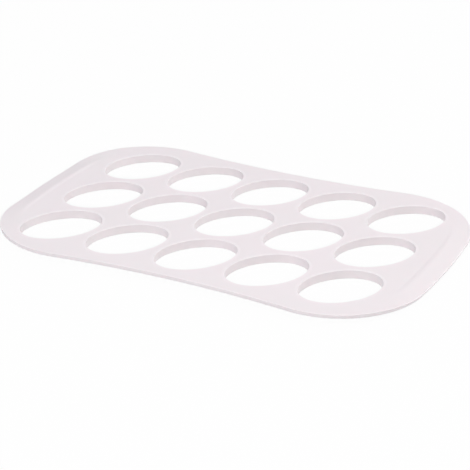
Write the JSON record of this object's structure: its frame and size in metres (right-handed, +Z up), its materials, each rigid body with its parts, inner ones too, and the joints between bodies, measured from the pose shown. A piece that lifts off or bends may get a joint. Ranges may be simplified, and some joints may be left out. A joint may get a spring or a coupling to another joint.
{
  "type": "silicone meringue mould",
  "caption": "Flat silicone sheet with rows of leaning oval openings for spreading meringue on a tray; walls hang from the openings and each end has a bevelled grip.",
  "frame": {"origin": "on the tray, under the middle of the mould: centre of the bounding box in plan, at the foot of the opening walls", "axes": "+X along the mould's length, from grip to grip; +Y across it; +Z up, out of the sheet's top face"},
  "size_m": [0.381, 0.2448, 0.0081],
  "materials": {
    "silicone": "smooth pinkish white silicone, soft satin"
  },
  "bodies": {
    "root": {"silicone_mould": "silicone"}
  },
  "joints": []
}
